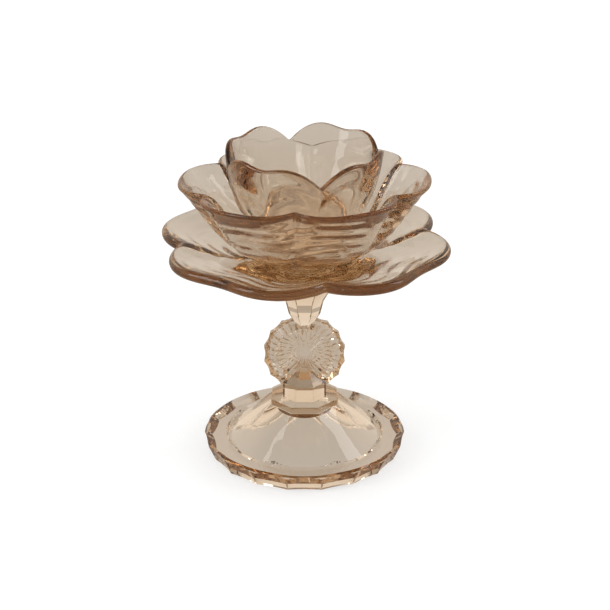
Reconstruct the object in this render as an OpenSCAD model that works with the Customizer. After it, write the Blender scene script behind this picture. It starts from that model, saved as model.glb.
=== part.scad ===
// Footed tea light holder of pressed amber glass: a fluted foot, a sunburst stem and three
// tiers of heart-shaped petals, bonded face to face with thin clear films.
// Millimetres, +Z up, origin at the centre of the face that the foot stands on.
// An azimuth of 0 faces -Y, and 90 faces +X.

/* [Foot] */
// Radius of the foot over the ridges between its flutes
foot_r = 51; // [46:0.2:56]
// Radius of the foot where it meets the table
foot_base_r = 47.6; // [44:0.2:50]
// Height of the foot's fluted wall
foot_wall_h = 8.5; // [7:0.1:10]
// Number of flutes round the foot
flute_count = 18; // [12:1:24]
// Depth of each flute at its middle
flute_depth = 1.3; // [0.8:0.1:1.8]
// Radius of the round edge inside which the eight facets rise
facet_r = 39; // [36:0.5:41]
// Distance from the axis to each flat of the collar
collar_r = 16.4; // [14:0.2:18]
// Height of the top of the collar
foot_h = 29.4; // [27:0.2:34]

/* [Stem] */
// Distance from the axis to each flat of the plinth
plinth_r = 10.8; // [9:0.2:12]
// Height of the plinth
plinth_h = 8; // [6:0.5:10]
// Radius of the sunburst disc over its ridges
disc_r = 20.6; // [18:0.2:21]
// Thickness of the sunburst disc
disc_t = 10; // [8:0.5:12]
// Number of scallops round the disc
disc_scallops = 16; // [12:1:20]
// Depth of each scallop of the disc
disc_scallop_depth = 1; // [0.4:0.1:1.4]
// Distance from the axis to each flat at the top of the neck
neck_top_r = 12.5; // [11:0.1:13.4]
// Distance from the axis to each flat at the waist of the neck
waist_r = 7.8; // [6.5:0.1:9]
// Height of the top of the neck
stem_top = 88; // [86:0.5:90]

/* [Lower petals] */
// Radius of the lower dish over the tips of its petals
dish_r = 73.4; // [68:0.2:78]
// Height of the lower dish's rim
dish_rim = 115.2; // [113:0.2:118]
// How far the rim draws in between two petals of the dish
dish_gap = 12.4; // [8:0.2:14]
// How far it draws in at the middle of a petal of the dish
dish_dip = 5; // [2:0.2:7]
// Half the thickness of the dish's rim
dish_lip = 2.8; // [2.2:0.1:3.2]

/* [Middle petals] */
// Radius of the middle bowl over the tips of its six lobes
bowl_r = 61; // [58:0.5:64]
// Height of the middle bowl's rim
bowl_rim = 144.5; // [142:0.5:148]
// How far the rim draws in between two lobes of the bowl
bowl_gap = 9; // [5:0.5:11]
// Half the thickness of the bowl's rim
bowl_lip = 2.8; // [2.2:0.1:3.2]

/* [Cup] */
// Radius of the cup over its petals
cup_r = 38.2; // [35:0.2:39]
// Height of the cup's rim
cup_rim = 162; // [158:0.5:166]
// How far the rim drops between two petals of the cup
cup_gap = 10; // [6:0.5:12]
// Half the thickness of the cup's rim
cup_lip = 1.9; // [1.6:0.1:2.2]
// Radius of the flat floor on which the tea light stands
cup_floor_r = 21; // [20.5:0.1:22]

/* [Finish] */
// Thickness of each bonding film
film_t = 0.2; // [0.15:0.05:0.3]
// Steps round each petal tier
steps = 96; // [48:24:96]

/* [Hidden] */

// Circumradius of an octagon for a distance of 1 to its flats
oct = 1 / cos(22.5);
// Azimuths of the deep notches of the dish, the bowl and the cup
dish_turn = 9.3;
bowl_turn = -5;
cup_turn = 12;

dish_base = stem_top + film_t;
dish_floor = 107.6;
dish_floor_r = 31;
bowl_base = dish_floor + film_t;
bowl_base_r = 22;
bowl_floor = 116;
bowl_floor_r = 26;
cup_base = bowl_floor + film_t;
cup_base_r = 20.5;
cup_floor = 127.5;

plinth_top = foot_h + film_t + plinth_h;
disc_z = 51.9;
waist_z = 75;
neck_z = 82;
neck_r = 9.4;

in_steps = 7;
lip_steps = 4;
out_steps = 7;
last_ring = in_steps + lip_steps + out_steps;

glass = [0.82, 0.71, 0.58, 0.55];
clear = [0.94, 0.93, 0.90, 0.40];

// A point at radius r, azimuth a and height z
function at(r, a, z) = [r * sin(a), -r * cos(a), z];

// A point on a cubic curve through four control points
function bez(t, p0, p1, p2, p3) =
    pow(1 - t, 3) * p0 + 3 * t * pow(1 - t, 2) * p1 + 3 * t * t * (1 - t) * p2 + pow(t, 3) * p3;

// 1 at each of n gaps round the rim, falling away to both sides
function gap(a, n = 4) = pow(1 - abs(sin(n * a / 2)), 2);

// 1 at the middle of each heart-shaped petal, 0 away from it
function dip(a) = pow(abs(sin(2 * a)), 8);

// Unit vector in the plane of a section
function dir(angle) = [cos(angle), sin(angle)];

// Point k of a section that runs up the inside, over a half-round lip and down the outside.
// c is the middle of the lip, lip its radius, tilt the way it points; the floor and base
// points each come with the control point that follows them.
function section(k, c, lip, tilt, pull, floor_p, floor_q, base_p, base_q) =
    k <= in_steps
    ? bez(k / in_steps, floor_p, floor_q,
        c + lip * dir(tilt + 90) - pull[0] * dir(tilt), c + lip * dir(tilt + 90))
    : k < in_steps + lip_steps
    ? c + lip * dir(tilt + 90 - 180 * (k - in_steps) / lip_steps)
    : bez((last_ring - k) / out_steps, base_p, base_q,
        c + lip * dir(tilt - 90) - pull[1] * dir(tilt), c + lip * dir(tilt - 90));

// Closed skin over rings 0 to last of n points each, with flat ends
module skin(n, last, p) {
    points = [for (k = [0:last]) for (j = [0:n - 1]) p(k, j)];
    sides = [for (k = [0:last - 1]) for (j = [0:n - 1]) let (i = (j + 1) % n)
        each [[k * n + j, k * n + i, (k + 1) * n + i],
            [k * n + j, (k + 1) * n + i, (k + 1) * n + j]]];
    top = [for (j = [n - 1:-1:0]) j];
    bottom = [for (j = [0:n - 1]) last * n + j];
    polyhedron(points = points, faces = concat([top, bottom], sides), convexity = 6);
}

// One petal tier: its section at every azimuth, turned so that a gap is at turn
module tier(turn, c, lip, tilt, pull, floor_p, floor_q, base_p, base_q) {
    skin(steps, last_ring, function (k, j)
        let (a = 360 * j / steps,
            s = section(k, c(a), lip, tilt, pull, floor_p, floor_q, base_p, base_q))
        at(s[0], a + turn, s[1]));
}

// Round fluted foot: a wall with concave flutes, a sloping band and eight facets up to a collar
module foot() {
    color(glass)
    difference() {
        union() {
            rotate_extrude($fn = 72)
            polygon([[0, 0], [foot_base_r, 0], [foot_r, foot_wall_h - 1], [foot_r - 0.3, foot_wall_h],
                [foot_r - 1.6, foot_wall_h + 0.9], [facet_r + 1, foot_wall_h + 0.2],
                [facet_r, foot_wall_h - 0.9], [0, foot_wall_h - 0.9]]);
            intersection() {
                rotate([0, 0, 22.5])
                translate([0, 0, 1])
                cylinder(h = foot_h - 4, r1 = (facet_r + 7.6) * oct, r2 = (collar_r + 0.6) * oct, $fn = 8);
                cylinder(h = foot_h, r = facet_r, $fn = 72);
            }
            rotate([0, 0, 22.5])
            cylinder(h = foot_h, r = collar_r * oct, $fn = 8);
        }
        foot_hollow();
        flutes();
    }
}

// Concave flutes, leaning out with the wall
module flutes() {
    flute_r = 58;
    lean = atan((foot_r - foot_base_r) / (foot_wall_h - 1));
    for (i = [0:flute_count - 1])
        rotate([0, 0, 360 * i / flute_count])
        translate([0, -(foot_base_r - flute_depth + flute_r / cos(lean)), 0])
        rotate([lean, 0, 0])
        translate([0, 0, -40])
        cylinder(h = 80, r = flute_r, $fn = 128);
}

// Hollow under the foot, which follows the facets above it
module foot_hollow() {
    ring_r = facet_r - 0.6;
    roof_r = 12;
    roof_z = 20;
    rotate_extrude($fn = 72)
    polygon([[0, -1], [ring_r, -1], [ring_r, 0], [ring_r - 1.6, 2.6], [roof_r, roof_z], [0, roof_z]]);
}

// Plinth, sunburst disc and flared neck, pressed in one piece
module stem_knob() {
    taper = 1.24;
    root_z = waist_z - 14;
    color(glass)
    union() {
        translate([0, 0, disc_z])
        rotate([90, 0, 0])
        sunburst_disc();
        rotate([0, 0, 22.5])
        rotate_extrude($fn = 8)
        polygon([[0, foot_h + film_t], [plinth_r * oct, foot_h + film_t], [plinth_r * oct, plinth_top],
            [0, plinth_top + taper * plinth_r]]);
        rotate([0, 0, 22.5])
        rotate_extrude($fn = 8)
        polygon([[0, root_z], [waist_r * oct, waist_z], [neck_r * oct, neck_z],
            [neck_top_r * oct, stem_top], [0, stem_top]]);
    }
}

// Disc with a scalloped, bevelled edge and a sunburst of V cuts on both faces
module sunburst_disc() {
    hub_r = 2.2;
    ray_r = 14;
    face_r = 15.4;
    ray_depth = 1.1;
    edge_t = 3;
    n = 4 * disc_scallops;
    function sharp(j) = abs(sin(45 * (j + 2)));
    function edge(j) = disc_r - disc_scallop_depth * sharp(j);
    function ray(j) = disc_t / 2 - ray_depth * (j % 2);
    skin(n, 7, function (k, j)
        let (m = min(k, 7 - k), side = k < 4 ? 1 : -1,
            r = [hub_r, ray_r, face_r, edge(j)][m],
            z = [disc_t / 2 - 0.6, ray(j), disc_t / 2, edge_t / 2][m])
        at(r, 360 * j / n, side * z));
}

// Wide lower dish of four heart-shaped petals, with a stub that meets the neck
module lower_petal_dish() {
    tilt = 14;
    rim = function (a)
        [dish_r - dish_lip - dish_gap * gap(a) - dish_dip * dip(a), dish_rim - dish_lip];
    color(glass)
    tier(dish_turn, rim, dish_lip, tilt, [14, 18],
        [dish_floor_r, dish_floor], [44, 105.6], [neck_top_r + 0.3, dish_base], [15, 100]);
}

// Middle bowl with six lobes that curl outwards, standing a little higher in front
module middle_petal_bowl() {
    tilt = 32;
    lean = 2.5;
    lean_turn = 30;
    rim = function (a)
        [bowl_r - bowl_lip - bowl_gap * gap(a, 6),
            bowl_rim - bowl_lip + lean * cos(a + bowl_turn - lean_turn)];
    color(glass)
    tier(bowl_turn, rim, bowl_lip, tilt, [14, 14],
        [bowl_floor_r, bowl_floor], [38, bowl_floor], [bowl_base_r, bowl_base], [42, 112]);
}

// Inner cup with a heart-shaped rim and an upright wall
module petal_cup() {
    tilt = 80;
    rim = function (a)
        [cup_r - cup_lip - gap(a) - 0.6 * dip(a), cup_rim - cup_lip - cup_gap * gap(a) - 2.4 * dip(a)];
    color(glass)
    tier(cup_turn, rim, cup_lip, tilt, [24, 30],
        [cup_floor_r, cup_floor], [28, cup_floor], [cup_base_r, cup_base], [27, 131]);
}

// Thin clear bonding film between two faces
module film(z, r) {
    color(clear)
    translate([0, 0, z])
    cylinder(h = film_t, r = r, $fn = 48);
}

foot();
film(foot_h, plinth_r - 0.3);  // film_foot
stem_knob();
film(stem_top, neck_top_r - 0.4);  // film_stem
lower_petal_dish();
film(dish_floor, bowl_base_r - 0.5);  // film_bowl
middle_petal_bowl();
film(bowl_floor, cup_base_r - 0.5);  // film_cup
petal_cup();
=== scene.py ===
import math

import bmesh
import bpy
import numpy as np
from bpy.props import FloatProperty, FloatVectorProperty, IntProperty, PointerProperty
from bpy.types import Operator, Panel, PropertyGroup
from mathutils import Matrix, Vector


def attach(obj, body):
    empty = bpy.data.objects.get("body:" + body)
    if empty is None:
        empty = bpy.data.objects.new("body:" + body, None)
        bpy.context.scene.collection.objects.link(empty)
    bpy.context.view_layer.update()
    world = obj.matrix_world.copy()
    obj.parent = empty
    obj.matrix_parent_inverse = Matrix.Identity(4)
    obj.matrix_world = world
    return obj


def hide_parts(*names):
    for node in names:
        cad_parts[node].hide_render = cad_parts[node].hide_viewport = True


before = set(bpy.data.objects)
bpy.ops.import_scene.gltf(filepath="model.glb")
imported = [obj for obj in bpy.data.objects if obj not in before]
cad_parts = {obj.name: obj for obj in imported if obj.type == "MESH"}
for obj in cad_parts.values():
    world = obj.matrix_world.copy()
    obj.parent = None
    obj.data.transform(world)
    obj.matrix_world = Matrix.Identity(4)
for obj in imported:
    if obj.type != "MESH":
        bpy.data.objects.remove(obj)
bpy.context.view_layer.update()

bl_info = {
    "name": "Petal tea light holder",
    "version": (1, 0, 0),
    "blender": (4, 5, 0),
    "location": "3D Viewport > Sidebar > Holder",
    "description": "Builds a footed glass tea light holder with three tiers of petals",
    "category": "Object",
}

MM = 0.001
# How far the bonds stay clear of the glass, so that no two faces coincide
DRY = 0.05 * MM

# Points of a tier's section along each wall and round its lip
WALL_STEPS, LIP_STEPS = 56, 14
# Faint waves start this far below the lip and grow over the next stretch
WAVE_START, WAVE_GROWTH = 1.5 * MM, 4 * MM
# They die away over this stretch towards the middle of the tier
WAVE_END = 16 * MM

# The foot's cone: radius of its top and of its foot, height of its top, drop per radius
CONE_TOP, CONE_FOOT = 17 * MM, 39 * MM
CONE_HEIGHT, CONE_SLOPE = 26.4 * MM, 0.8523
# Share of the cone over which its ridges fade, and the longest edge left on it
RIDGE_FADE, CONE_EDGE = 0.6, 2.5 * MM

# Faces that meet at a smaller angle are one face, edges over the larger one are polished
FLAT_ANGLE, SHARP_ANGLE = math.radians(0.6), math.radians(16)

# Light that the floor adds where the camera sees it
FLOOR_SEEN = 0.53
# Brightness of the floor, the walls and the roof of the studio as the glass shows them;
# ROOF and FRONT are what the roof and the side behind the camera fall short of the walls
FLOOR_THROUGH = 0.56
TENT, ROOF, FRONT = 0.95, 0.6, 0.2
WARM = (1.0, 0.88, 0.75)
FLOOR_HALF, FLOOR_DROP = 6.0, 0.0002


class HolderSizes(PropertyGroup):
    """Sizes that the petal tiers are swept from, the same as the solids' own."""

    dish_r: FloatProperty(
        name="Dish radius",
        description="Radius of the lower dish over its petal tips",
        default=0.0734,
        unit="LENGTH",
        subtype="DISTANCE",
    )
    dish_rim: FloatProperty(
        name="Dish rim",
        description="Height of the lower dish's rim",
        default=0.1152,
        unit="LENGTH",
        subtype="DISTANCE",
    )
    bowl_r: FloatProperty(
        name="Bowl radius",
        description="Radius of the middle bowl over its lobes",
        default=0.061,
        unit="LENGTH",
        subtype="DISTANCE",
    )
    bowl_rim: FloatProperty(
        name="Bowl rim",
        description="Mean height of the middle bowl's rim",
        default=0.1445,
        unit="LENGTH",
        subtype="DISTANCE",
    )
    cup_r: FloatProperty(
        name="Cup radius",
        description="Radius of the cup over its petals",
        default=0.0382,
        unit="LENGTH",
        subtype="DISTANCE",
    )
    cup_rim: FloatProperty(
        name="Cup rim",
        description="Height of the cup's rim",
        default=0.162,
        unit="LENGTH",
        subtype="DISTANCE",
    )
    edge: FloatProperty(
        name="Edge radius",
        description="Width of the fire-polished edges of the foot and the stem",
        default=0.00035,
        unit="LENGTH",
        subtype="DISTANCE",
    )
    turns: IntProperty(
        name="Steps round",
        description="Steps round each petal tier",
        default=288,
        min=48,
        max=480,
    )


class HolderLook(PropertyGroup):
    """Colours and strengths of the glass and the studio."""

    tint: FloatVectorProperty(
        name="Tint",
        description="Colour that the glass keeps as light goes through it",
        default=(0.62, 0.38, 0.06),
        subtype="COLOR",
        size=3,
    )
    face: FloatVectorProperty(
        name="Face tint",
        description="Colour that the glass keeps at each face",
        default=(1.0, 1.0, 1.0),
        subtype="COLOR",
        size=3,
    )
    density: FloatProperty(
        name="Density",
        description="How fast the glass takes light up, per metre",
        default=28.0,
    )
    ior: FloatProperty(
        name="Refractive index",
        description="Refractive index of the glass",
        default=1.52,
    )
    floor: FloatProperty(
        name="Floor",
        description="Grey level of the plain floor",
        default=0.5,
        subtype="FACTOR",
        min=0,
        max=1,
    )
    lamp: FloatProperty(
        name="Softbox power",
        description="Power of each softbox",
        default=2.5,
        unit="POWER",
    )


class Sock:
    """A shader socket or a number that adds Math nodes as it is used in an expression."""

    def __init__(self, tree, value):
        self.tree = tree
        self.value = value

    def _math(self, operation, *others):
        node = self.tree.nodes.new("ShaderNodeMath")
        node.operation = operation
        for k, item in enumerate((self, *others)):
            value = item.value if isinstance(item, Sock) else item
            if isinstance(value, bpy.types.NodeSocket):
                self.tree.links.new(value, node.inputs[k])
            else:
                node.inputs[k].default_value = value
        return Sock(self.tree, node.outputs[0])

    def __add__(self, other):
        return self._math("ADD", other)

    def __mul__(self, other):
        return self._math("MULTIPLY", other)

    __rmul__ = __mul__

    def __sub__(self, other):
        return self._math("SUBTRACT", other)

    def __rsub__(self, other):
        return Sock(self.tree, other)._math("SUBTRACT", self)

    def clamp(self):
        return self._math("MINIMUM", 1.0)._math("MAXIMUM", 0.0)


class Shader:
    """A node tree with one method that adds any node and fills its sockets."""

    def __init__(self, owner):
        owner.use_nodes = True
        self.tree = owner.node_tree
        self.tree.nodes.clear()

    def add(self, kind, settings=None, **sockets):
        node = self.tree.nodes.new("ShaderNode" + kind)
        for key, value in (settings or {}).items():
            setattr(node, key, value)
        for key, value in sockets.items():
            socket = node.inputs[key.replace("_", " ")]
            value = value.value if isinstance(value, Sock) else value
            if isinstance(value, bpy.types.NodeSocket):
                self.tree.links.new(value, socket)
            else:
                socket.default_value = value
        return node

    def sock(self, socket):
        return Sock(self.tree, socket)

    def colour(self, red, green, blue):
        return self.add("CombineColor", Red=red, Green=green, Blue=blue).outputs[0]


def absorb(shader, look):
    node = shader.add("VolumeAbsorption", Color=(*look.tint, 1), Density=look.density)
    return node.outputs["Volume"]


def glass(look):
    """Amber glass: clear and smooth, tinted by the way that light goes inside it."""
    mat = bpy.data.materials.new("pressed_glass")
    shader = Shader(mat)
    surface = shader.add(
        "BsdfPrincipled",
        **{
            "Base_Color": (*look.face, 1),
            "Roughness": 0.0,
            "IOR": look.ior,
            "Transmission_Weight": 1.0,
        },
    )
    shader.add("OutputMaterial", Surface=surface.outputs[0], Volume=absorb(shader, look))
    return mat


def adhesive(look):
    """Cured clear adhesive, as dense as the glass on both sides of it."""
    mat = bpy.data.materials.new("cured_adhesive")
    shader = Shader(mat)
    surface = shader.add(
        "BsdfPrincipled",
        **{
            "Base_Color": (1, 1, 1, 1),
            "Roughness": 0.0,
            "IOR": look.ior,
            "Transmission_Weight": 1.0,
        },
    )
    shader.add("OutputMaterial", Surface=surface.outputs[0])
    return mat


def material(name, make, *args):
    return bpy.data.materials.get(name) or make(*args)


def new_object(name, mesh, mats):
    obj = bpy.data.objects.new(name, mesh)
    bpy.context.scene.collection.objects.link(obj)
    for mat in mats:
        mesh.materials.append(mat)
    return obj


def bezier(t, p0, p1, p2, p3):
    t = t[..., None]
    return (1 - t) ** 3 * p0 + 3 * t * (1 - t) ** 2 * p1 + 3 * t * t * (1 - t) * p2 + t**3 * p3


def gap(a, n=4):
    """1 at each of n gaps round a rim, falling away to both sides."""
    rounding = 0.0004
    return (1 - np.sqrt(np.sin(n * a / 2) ** 2 + rounding)).clip(0) ** 2


def dip(a):
    """1 at the middle of each heart-shaped petal, 0 away from it."""
    return np.sin(2 * a) ** 8


def unit(angle):
    """Direction of length 1 for an angle in degrees."""
    return np.stack([np.cos(np.radians(angle)), np.sin(np.radians(angle))], -1)


def rippled(side, around, ripple):
    """Rings of a wall, from its foot to its lip, with the faint waves of pressed glass.

    ripple is the height of the waves, their length, how far they wander and their turn.
    The waves wander up and down round the wall, and swell and sink five times.
    """
    height, length, wander, turn = ripple
    run = np.gradient(side, axis=0)
    step = np.hypot(run[..., 0], run[..., 1])
    below = np.cumsum(step, axis=0)
    below = below[-1] - below
    above = below[0] - below
    phase = wander * (np.sin(3 * around + turn) + 0.6 * np.sin(7 * around - 2 * turn))
    swell = 0.6 + 0.4 * np.sin(5 * around + 3 * turn)
    wave = np.sin(2 * math.pi * below / length + phase) * swell
    fade = np.clip((below - WAVE_START) / WAVE_GROWTH, 0, 1) * np.clip(above / WAVE_END, 0, 1)
    out = np.stack([-run[..., 1], run[..., 0]], -1) / step[..., None]
    return side + out * (height * fade * wave)[..., None]


def tier_mesh(name, rim, turn, lip, tilt, pull, floor, base, bonds, ripples, steps):
    """Petal tier swept round the axis: up the inside, over the lip and down the outside.

    tilt is the lean of the inner and the outer wall at the lip, pull how far each holds it.
    floor and base are each a point of the section and the control point next to it,
    bonds the radii of the bonded discs in the middle of the floor and of the base.
    """
    a = np.linspace(0, 2 * math.pi, steps, endpoint=False)
    c = np.stack(rim(a), -1)
    tilt = [np.full(steps, lean) for lean in tilt]
    ends = [np.broadcast_to(np.array(p, float), c.shape) for p in (*floor, *base)]
    walls = []
    for start, aim, lean, sign, reach in (
        (ends[0], ends[1], tilt[0], 1, pull[0]),
        (ends[2], ends[3], tilt[1], -1, pull[1]),
    ):
        to = c + lip * unit(lean + sign * 90)
        pulled = to - reach * unit(lean)
        along = [np.full(steps, k / WALL_STEPS) for k in range(WALL_STEPS + 1)]
        walls.append([bezier(t, start, aim, pulled, to) for t in along])
    inner, outer = (rippled(np.array(w), a, r) for w, r in zip(walls, ripples))
    rings = list(inner)
    for k in range(1, LIP_STEPS):
        rings.append(c + lip * unit(tilt[0] + 90 - (180 + tilt[0] - tilt[1]) * k / LIP_STEPS))
    rings += list(outer[::-1])
    flat = [(bonds[0], floor[0][1]), (bonds[1], base[0][1])]
    rings.insert(0, np.full_like(c, 0) + flat[0])
    rings.append(np.full_like(c, 0) + flat[1])
    grid = np.array(rings)
    world = a + math.radians(turn)
    co = np.stack([grid[..., 0] * np.sin(world), -grid[..., 0] * np.cos(world), grid[..., 1]], -1)
    count = len(rings)
    faces = []
    for k in range(count - 1):
        for j in range(steps):
            i = (j + 1) % steps
            faces.append((k * steps + j, (k + 1) * steps + j, (k + 1) * steps + i, k * steps + i))
    faces.append(tuple(range(steps)))
    faces.append(tuple((count - 1) * steps + j for j in range(steps - 1, -1, -1)))
    mesh = bpy.data.meshes.new(name)
    mesh.from_pydata(co.reshape(-1, 3).tolist(), [], faces)
    mesh.update()
    mesh.polygons.foreach_set("use_smooth", [True] * len(faces))
    sharp_rings(mesh, steps, (0, 1, count - 2, count - 1))
    return mesh


def sharp_rings(mesh, steps, rings):
    """Marks the flat floor's and base's edges sharp, so that the flats stay flat."""
    count = len(mesh.polygons)
    for index in (count - 2, count - 1):
        mesh.polygons[index].use_smooth = False
    wanted = {r * steps + j for r in rings for j in range(steps)}
    for edge in mesh.edges:
        u, v = edge.vertices
        if u in wanted and v in wanted and u // steps == v // steps:
            edge.use_edge_sharp = True


def add_tier(node, rim, turn, lip, tilt, pull, floor, base, bonds, ripples):
    """Petal tier in place of a node of the frame, its lengths given in millimetres."""
    sizes, look = bpy.context.scene.holder_sizes, bpy.context.scene.holder_look
    mesh = tier_mesh(
        node + "_glass",
        rim,
        turn,
        lip * MM,
        tilt,
        [p * MM for p in pull],
        [[v * MM for v in p] for p in floor],
        [[v * MM for v in p] for p in base],
        [b * MM for b in bonds],
        [(h * MM, w * MM, *rest) for h, w, *rest in ripples],
        sizes.turns,
    )
    mats = [material("pressed_glass", glass, look)]
    obj = new_object(node + "_glass", mesh, mats)
    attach(obj, "root")
    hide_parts(node)
    return obj


def fade_ridges(work):
    """Lets the ridges of the foot's eight-sided cone run out into a round one."""
    inner, outer = CONE_TOP - 0.5 * MM, CONE_FOOT + 0.2 * MM

    def on_cone(face):
        far = [v.co.xy.length for v in face.verts]
        return 0.5 < face.normal.z < 0.9 and min(far) > inner and max(far) < outer

    bmesh.ops.triangulate(work, faces=[f for f in work.faces if on_cone(f)])
    for _ in range(5):
        edges = dict.fromkeys(e for f in work.faces if on_cone(f) for e in f.edges)
        long = [e for e in edges if e.calc_length() > CONE_EDGE]
        bmesh.ops.subdivide_edges(work, edges=long, cuts=1, use_grid_fill=True)
        wide = [f for f in work.faces if on_cone(f) and len(f.verts) > 3]
        bmesh.ops.triangulate(work, faces=wide)
    for vert in dict.fromkeys(v for f in work.faces if on_cone(f) for v in f.verts):
        out = vert.co.xy.length - CONE_TOP
        share = min(max(out / (RIDGE_FADE * (CONE_FOOT - CONE_TOP)), 0), 1)
        share = share * share * (3 - 2 * share)
        vert.co.z += share * (CONE_HEIGHT - CONE_SLOPE * out - vert.co.z)


def polished(node, shape=None):
    """A copy of a pressed solid with clean faces and rounded edges, and shape(copy) if given."""
    sizes, look = bpy.context.scene.holder_sizes, bpy.context.scene.holder_look
    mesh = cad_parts[node].data.copy()
    mesh.name = node + "_glass"
    mesh.materials.clear()
    if "custom_normal" in mesh.attributes:
        mesh.attributes.remove(mesh.attributes["custom_normal"])
    work = bmesh.new()
    work.from_mesh(mesh)
    bmesh.ops.remove_doubles(work, verts=work.verts, dist=1e-6)
    bmesh.ops.dissolve_limit(
        work, angle_limit=FLAT_ANGLE, verts=work.verts, edges=work.edges
    )
    edges = [
        e
        for e in work.edges
        if len(e.link_faces) == 2
        and e.calc_face_angle(0) > SHARP_ANGLE
        and e.calc_length() > 2 * sizes.edge
    ]
    bmesh.ops.bevel(
        work,
        geom=edges,
        offset=sizes.edge,
        offset_type="OFFSET",
        segments=2,
        profile=0.5,
        affect="EDGES",
        clamp_overlap=True,
    )
    if shape:
        shape(work)
    for face in work.faces:
        face.smooth = True
        face.material_index = 0
    work.to_mesh(mesh)
    work.free()
    mats = [material("pressed_glass", glass, look)]
    obj = new_object(node + "_glass", mesh, mats)
    weighted = obj.modifiers.new("weighted", "WEIGHTED_NORMAL")
    weighted.weight = 80
    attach(obj, "root")
    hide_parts(node)
    return obj


class HOLDER_OT_foot(Operator):
    """Add the fluted foot"""

    bl_idname = "holder.foot"
    bl_label = "Foot"

    def execute(self, context):
        polished("foot", fade_ridges)
        return {"FINISHED"}


class HOLDER_OT_stem(Operator):
    """Add the plinth, sunburst disc and neck"""

    bl_idname = "holder.stem"
    bl_label = "Sunburst stem"

    def execute(self, context):
        polished("stem_knob")
        return {"FINISHED"}


class HOLDER_OT_dish(Operator):
    """Add the wide lower dish of four heart-shaped petals"""

    bl_idname = "holder.dish"
    bl_label = "Lower petal dish"

    def execute(self, context):
        s = context.scene.holder_sizes
        lip = 2.6

        def rim(a):
            r = s.dish_r - (lip + 12.4 * gap(a) + 5 * dip(a)) * MM
            return r, np.full_like(a, s.dish_rim - lip * MM)

        add_tier(
            "lower_petal_dish",
            rim,
            9.3,
            lip,
            (13, 24),
            (14, 16),
            ((31, 107.6), (44, 105.6)),
            ((12.8, 88.2), (21, 98)),
            (21.5, 12.1),
            ((0.1, 9.0, 1.6, 0.4), (0.28, 10.0, 2.0, 1.3)),
        )
        return {"FINISHED"}


class HOLDER_OT_bowl(Operator):
    """Add the middle bowl with six lobes that curl outwards"""

    bl_idname = "holder.bowl"
    bl_label = "Middle petal bowl"

    def execute(self, context):
        s = context.scene.holder_sizes
        lip = 1.1
        turn, lean, lean_turn = -5, 2.5, 30

        def rim(a):
            r = s.bowl_r - (lip + 9 * gap(a, 6)) * MM
            z = s.bowl_rim + (lean * np.cos(a + math.radians(turn - lean_turn)) - lip) * MM
            return r, z

        add_tier(
            "middle_petal_bowl",
            rim,
            turn,
            lip,
            (27, 46),
            (14, 16),
            ((26, 116), (39, 115)),
            ((22, 107.8), (43, 109.8)),
            (20, 21.5),
            ((0.1, 9.0, 2.0, 2.1), (0.2, 7.0, 2.6, 0.2)),
        )
        return {"FINISHED"}


class HOLDER_OT_cup(Operator):
    """Add the inner cup that holds the tea light"""

    bl_idname = "holder.cup"
    bl_label = "Petal cup"

    def execute(self, context):
        s = context.scene.holder_sizes
        lip = 1.3

        def rim(a):
            r = s.cup_r - (lip + gap(a) + 0.6 * dip(a)) * MM
            z = s.cup_rim - (lip + 10 * gap(a) + 2.4 * dip(a)) * MM
            return r, z

        add_tier(
            "petal_cup",
            rim,
            12,
            lip,
            (70, 82),
            (18, 30),
            ((20.5, 127.5), (23, 127.5)),
            ((20.5, 116.2), (27, 131)),
            (18, 20),
            ((0.1, 11.0, 0.5, 0.9), (0.05, 12.0, 0.4, 2.6)),
        )
        return {"FINISHED"}


class HOLDER_OT_films(Operator):
    """Dress the clear bonding films"""

    bl_idname = "holder.films"
    bl_label = "Bonding films"

    def execute(self, context):
        mat = material("cured_adhesive", adhesive, context.scene.holder_look)
        for name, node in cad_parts.items():
            if name.startswith("film_"):
                node.data.materials.clear()
                node.data.materials.append(mat)
                dry = node.modifiers.new("dry_skin", "DISPLACE")
                dry.strength = -DRY
                dry.mid_level = 0
        return {"FINISHED"}


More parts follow.
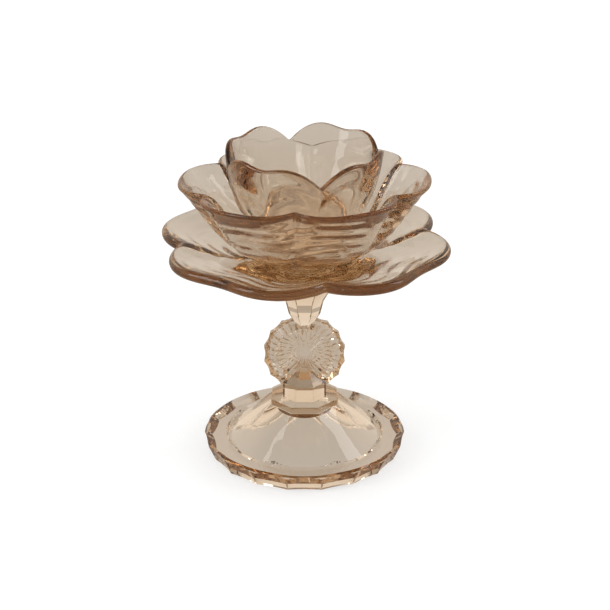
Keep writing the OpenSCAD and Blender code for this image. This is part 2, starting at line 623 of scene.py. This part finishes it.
class HOLDER_OT_stage(Operator):
    """Add the floor, the white surroundings, the softboxes and the camera"""

    bl_idname = "holder.stage"
    bl_label = "Stage"

    def execute(self, context):
        look = context.scene.holder_look
        self.floor(look)
        self.world()
        self.softbox("softbox_left", (-0.9, -0.35, 0.75), 0.4, look.lamp)
        self.softbox("softbox_right", (0.9, 0.1, 0.85), 0.3, 0.6 * look.lamp)
        self.softbox("softbox_low", (-0.4, -0.9, 0.25), 0.03, 0.02 * look.lamp)
        self.camera(context)
        return {"FINISHED"}

    def floor(self, look):
        """Plain floor, white to the camera and a warm grey to the glass."""
        mesh = bpy.data.meshes.new("floor")
        r, z = FLOOR_HALF, -FLOOR_DROP
        mesh.from_pydata([(-r, -r, z), (r, -r, z), (r, r, z), (-r, r, z)], [], [(0, 1, 2, 3)])
        mat = bpy.data.materials.new("floor")
        shader = Shader(mat)
        paths = shader.add("LightPath")
        seen = shader.sock(paths.outputs["Is Camera Ray"])
        through = shader.sock(paths.outputs["Is Transmission Ray"])
        mirrored = shader.sock(paths.outputs["Is Glossy Ray"])
        glassy = (through + mirrored).clamp()
        glow = [seen * FLOOR_SEEN + glassy * (FLOOR_THROUGH * part) for part in WARM]
        paint = look.floor * (1 - glassy)
        surface = shader.add(
            "BsdfPrincipled",
            **{
                "Base_Color": shader.colour(paint, paint, paint),
                "Roughness": 1.0,
                "Specular_IOR_Level": 0.0,
                "Emission_Strength": 1.0,
                "Emission_Color": shader.colour(*glow),
            },
        )
        shader.add("OutputMaterial", Surface=surface.outputs[0])
        new_object("floor", mesh, [mat])

    def world(self):
        """White surroundings, with a darker roof and front where the glass shows them."""
        world = bpy.data.worlds.new("studio")
        bpy.context.scene.world = world
        shader = Shader(world)
        place = shader.add("TexCoord").outputs["Generated"]
        split = shader.add("SeparateXYZ", Vector=place)
        side = shader.sock(split.outputs["Y"])
        up = shader.sock(split.outputs["Z"])
        paths = shader.add("LightPath")
        through = shader.sock(paths.outputs["Is Transmission Ray"])
        mirrored = shader.sock(paths.outputs["Is Glossy Ray"])
        roof = (up * 5.0 - 3.0).clamp()
        front = (side * -4.0 - 2.0).clamp()
        tent = TENT - ROOF * roof - FRONT * front * (1 - roof)
        glassy = (through + mirrored).clamp()
        tints = [1 - glassy * (1 - tent * part) for part in WARM]
        surface = shader.add("Background", Color=shader.colour(*tints), Strength=1.0)
        shader.add("OutputWorld", Surface=surface.outputs[0])

    def softbox(self, name, place, size, power):
        data = bpy.data.lights.new(name, "AREA")
        data.shape = "RECTANGLE"
        data.size = size
        data.size_y = size * 2
        data.energy = power
        obj = bpy.data.objects.new(name, data)
        bpy.context.scene.collection.objects.link(obj)
        obj.location = place
        aim = Vector((0, 0, 0.08)) - obj.location
        obj.rotation_euler = aim.to_track_quat("-Z", "Y").to_euler()

    def camera(self, context):
        data = bpy.data.cameras.new("camera")
        data.lens = 102.86
        data.sensor_width = 36
        data.shift_x = 0.5 / 610
        obj = bpy.data.objects.new("camera", data)
        context.scene.collection.objects.link(obj)
        obj.location = (0, -0.7909, 0.4259)
        aim = Vector((0, 0, 0.0781)) - obj.location
        obj.rotation_euler = aim.to_track_quat("-Z", "Y").to_euler()
        context.scene.camera = obj


class HOLDER_PT_panel(Panel):
    """Sizes, colours and pieces of the holder"""

    bl_idname = "HOLDER_PT_panel"
    bl_label = "Petal tea light holder"
    bl_space_type = "VIEW_3D"
    bl_region_type = "UI"
    bl_category = "Holder"

    def draw(self, context):
        for group in (context.scene.holder_sizes, context.scene.holder_look):
            for key in group.bl_rna.properties.keys():
                if key not in ("rna_type", "name"):
                    self.layout.prop(group, key)
        for operator in OPERATORS:
            self.layout.operator(operator.bl_idname)


OPERATORS = (
    HOLDER_OT_foot,
    HOLDER_OT_stem,
    HOLDER_OT_dish,
    HOLDER_OT_bowl,
    HOLDER_OT_cup,
    HOLDER_OT_films,
    HOLDER_OT_stage,
)
CLASSES = (HolderSizes, HolderLook, *OPERATORS, HOLDER_PT_panel)


def register():
    for cls in CLASSES:
        bpy.utils.register_class(cls)
    bpy.types.Scene.holder_sizes = PointerProperty(type=HolderSizes)
    bpy.types.Scene.holder_look = PointerProperty(type=HolderLook)


def unregister():
    del bpy.types.Scene.holder_look
    del bpy.types.Scene.holder_sizes
    for cls in reversed(CLASSES):
        bpy.utils.unregister_class(cls)


def render_settings(scene):
    cycles = scene.cycles
    cycles.max_bounces = 32
    cycles.transmission_bounces = 32
    cycles.glossy_bounces = 16
    cycles.transparent_max_bounces = 48
    cycles.volume_bounces = 0
    scene.view_settings.view_transform = "Standard"


def main():
    register()
    render_settings(bpy.context.scene)
    bpy.ops.holder.foot()
    bpy.ops.holder.stem()
    bpy.ops.holder.dish()
    bpy.ops.holder.bowl()
    bpy.ops.holder.cup()
    bpy.ops.holder.films()
    bpy.ops.holder.stage()


if __name__ == "__main__":
    main()
